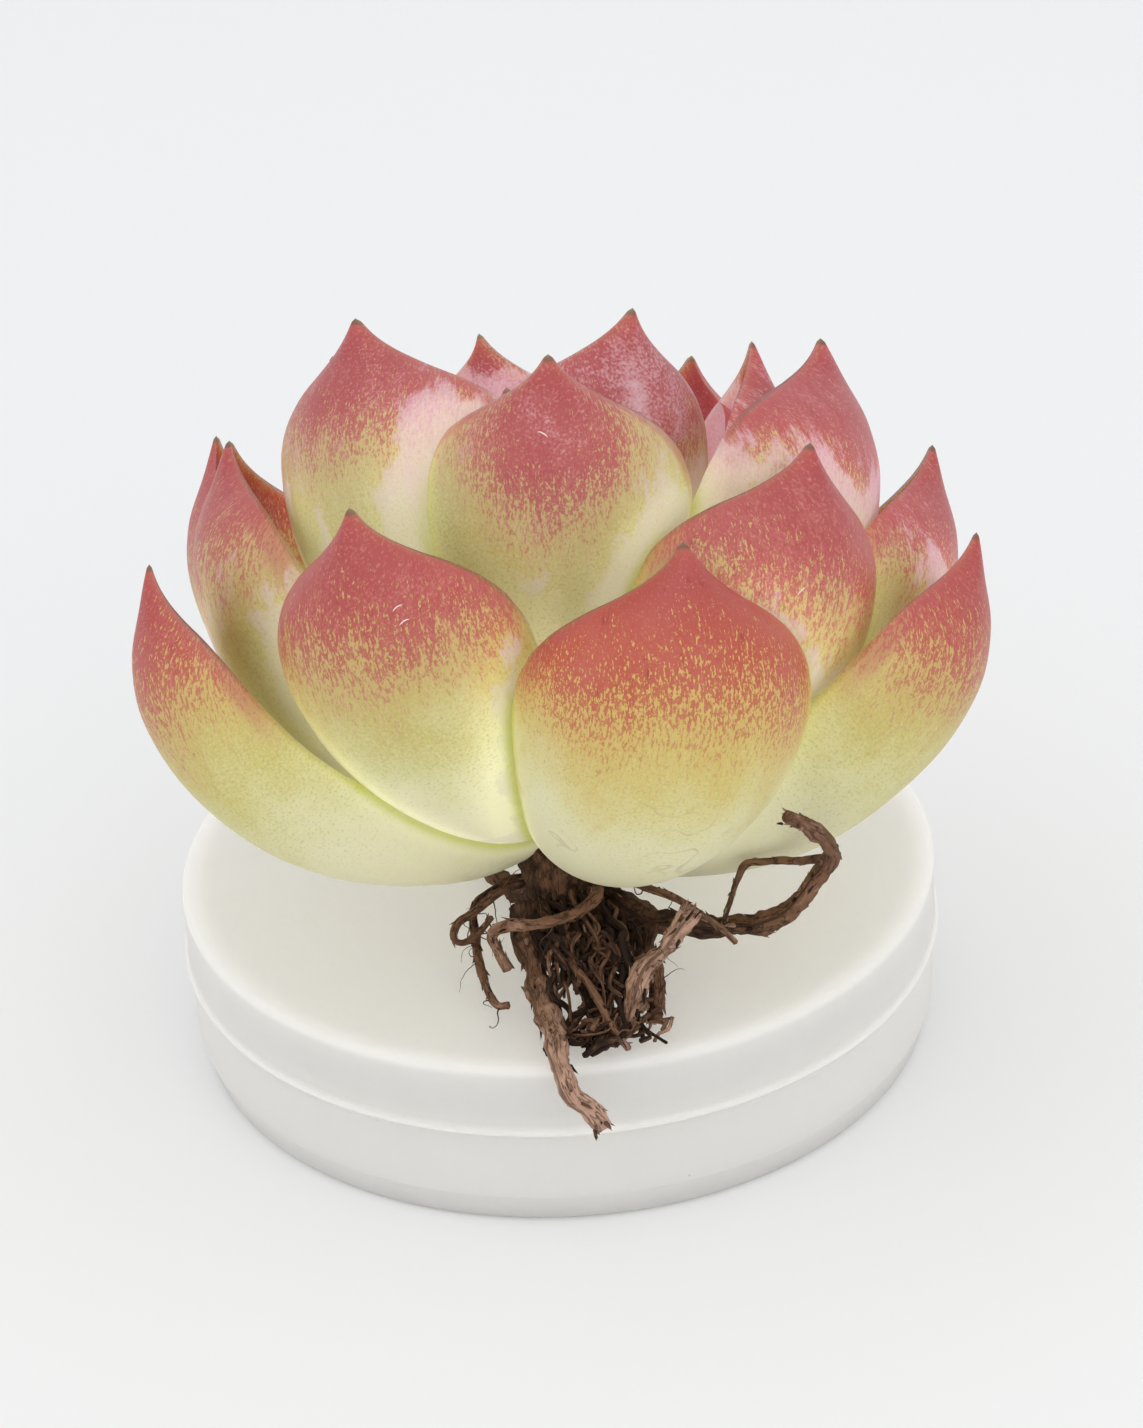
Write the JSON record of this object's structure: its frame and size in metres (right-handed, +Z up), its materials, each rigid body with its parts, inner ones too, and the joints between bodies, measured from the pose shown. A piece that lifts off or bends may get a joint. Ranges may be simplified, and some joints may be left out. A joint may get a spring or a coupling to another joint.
{
  "type": "succulent rosette on a frosted round box",
  "caption": "Bare-rooted rosette succulent with plump pointed leaves, leaning back with its dry roots spilled forward, on a low round frosted box with a slip-on lid.",
  "frame": {"origin": "centre of the box's flat foot, on the surface it stands on", "axes": "+Z up; the plant's front, with the roots, faces -Y; +X is to the right seen from the front"},
  "size_m": [0.0633, 0.0638, 0.0646],
  "materials": {
    "frosted_lid": "frosted, translucent, fine matt grain",
    "frosted_dish": "frosted, translucent, fine matt grain",
    "crown": "dry fibrous bark, dull brown",
    "leaf_01": "plump leaf skin with a waxy bloom, lime green below and coral red towards the tip",
    "leaf_02": "plump leaf skin with a waxy bloom, lime green below and coral red towards the tip",
    "leaf_03": "plump leaf skin with a waxy bloom, lime green below and coral red towards the tip",
    "leaf_04": "plump leaf skin with a waxy bloom, lime green below and coral red towards the tip",
    "leaf_05": "plump leaf skin with a waxy bloom, lime green below and coral red towards the tip",
    "leaf_06": "plump leaf skin with a waxy bloom, lime green below and coral red towards the tip",
    "leaf_07": "plump leaf skin with a waxy bloom, lime green below and coral red towards the tip",
    "leaf_08": "plump leaf skin with a waxy bloom, lime green below and coral red towards the tip",
    "leaf_09": "plump leaf skin with a waxy bloom, lime green below and coral red towards the tip",
    "leaf_10": "plump leaf skin with a waxy bloom, lime green below and coral red towards the tip",
    "leaf_11": "plump leaf skin with a waxy bloom, lime green below and coral red towards the tip",
    "leaf_12": "plump leaf skin with a waxy bloom, lime green below and coral red towards the tip",
    "leaf_13": "plump leaf skin with a waxy bloom, lime green below and coral red towards the tip",
    "leaf_14": "plump leaf skin with a waxy bloom, lime green below and coral red towards the tip",
    "leaf_15": "plump leaf skin with a waxy bloom, lime green below and coral red towards the tip",
    "leaf_16": "plump leaf skin with a waxy bloom, lime green below and coral red towards the tip",
    "leaf_17": "plump leaf skin with a waxy bloom, lime green below and coral red towards the tip",
    "leaf_18": "plump leaf skin with a waxy bloom, lime green below and coral red towards the tip",
    "leaf_19": "plump leaf skin with a waxy bloom, lime green below and coral red towards the tip",
    "leaf_20": "plump leaf skin with a waxy bloom, lime green below and coral red towards the tip",
    "leaf_21": "plump leaf skin with a waxy bloom, lime green below and coral red towards the tip",
    "leaf_22": "plump leaf skin with a waxy bloom, lime green below and coral red towards the tip",
    "leaf_23": "plump leaf skin with a waxy bloom, lime green below and coral red towards the tip",
    "leaf_24": "plump leaf skin with a waxy bloom, lime green below and coral red towards the tip",
    "leaf_25": "plump leaf skin with a waxy bloom, lime green below and coral red towards the tip",
    "leaf_26": "plump leaf skin with a waxy bloom, lime green below and coral red towards the tip",
    "root_long": "dry fibrous bark, dull brown",
    "root_cross": "dry fibrous bark, dull brown",
    "root_broken": "dry fibrous bark, dull brown",
    "root_arch": "dry fibrous bark, dull brown",
    "root_wiry": "dry fibrous bark, dull brown",
    "root_left_loop": "dry fibrous bark, dull brown",
    "root_left_drop": "dry fibrous bark, dull brown",
    "root_stub": "dry fibrous bark, dull brown",
    "root_side": "dry fibrous bark, dull brown",
    "root_mid": "dry fibrous bark, dull brown",
    "root_right_mid": "dry fibrous bark, dull brown",
    "root_front_loop": "dry fibrous bark, dull brown",
    "root_back": "dry fibrous bark, dull brown"
  },
  "bodies": {
    "root": {"frosted_lid": "frosted_lid", "frosted_dish": "frosted_dish", "crown": "crown", "leaf_01": "leaf_01", "leaf_02": "leaf_02", "leaf_03": "leaf_03", "leaf_04": "leaf_04", "leaf_05": "leaf_05", "leaf_06": "leaf_06", "leaf_07": "leaf_07", "leaf_08": "leaf_08", "leaf_09": "leaf_09", "leaf_10": "leaf_10", "leaf_11": "leaf_11", "leaf_12": "leaf_12", "leaf_13": "leaf_13", "leaf_14": "leaf_14", "leaf_15": "leaf_15", "leaf_16": "leaf_16", "leaf_17": "leaf_17", "leaf_18": "leaf_18", "leaf_19": "leaf_19", "leaf_20": "leaf_20", "leaf_21": "leaf_21", "leaf_22": "leaf_22", "leaf_23": "leaf_23", "leaf_24": "leaf_24", "leaf_25": "leaf_25", "leaf_26": "leaf_26", "root_long": "root_long", "root_cross": "root_cross", "root_broken": "root_broken", "root_arch": "root_arch", "root_wiry": "root_wiry", "root_left_loop": "root_left_loop", "root_left_drop": "root_left_drop", "root_stub": "root_stub", "root_side": "root_side", "root_mid": "root_mid", "root_right_mid": "root_right_mid", "root_front_loop": "root_front_loop", "root_back": "root_back"}
  },
  "joints": []
}
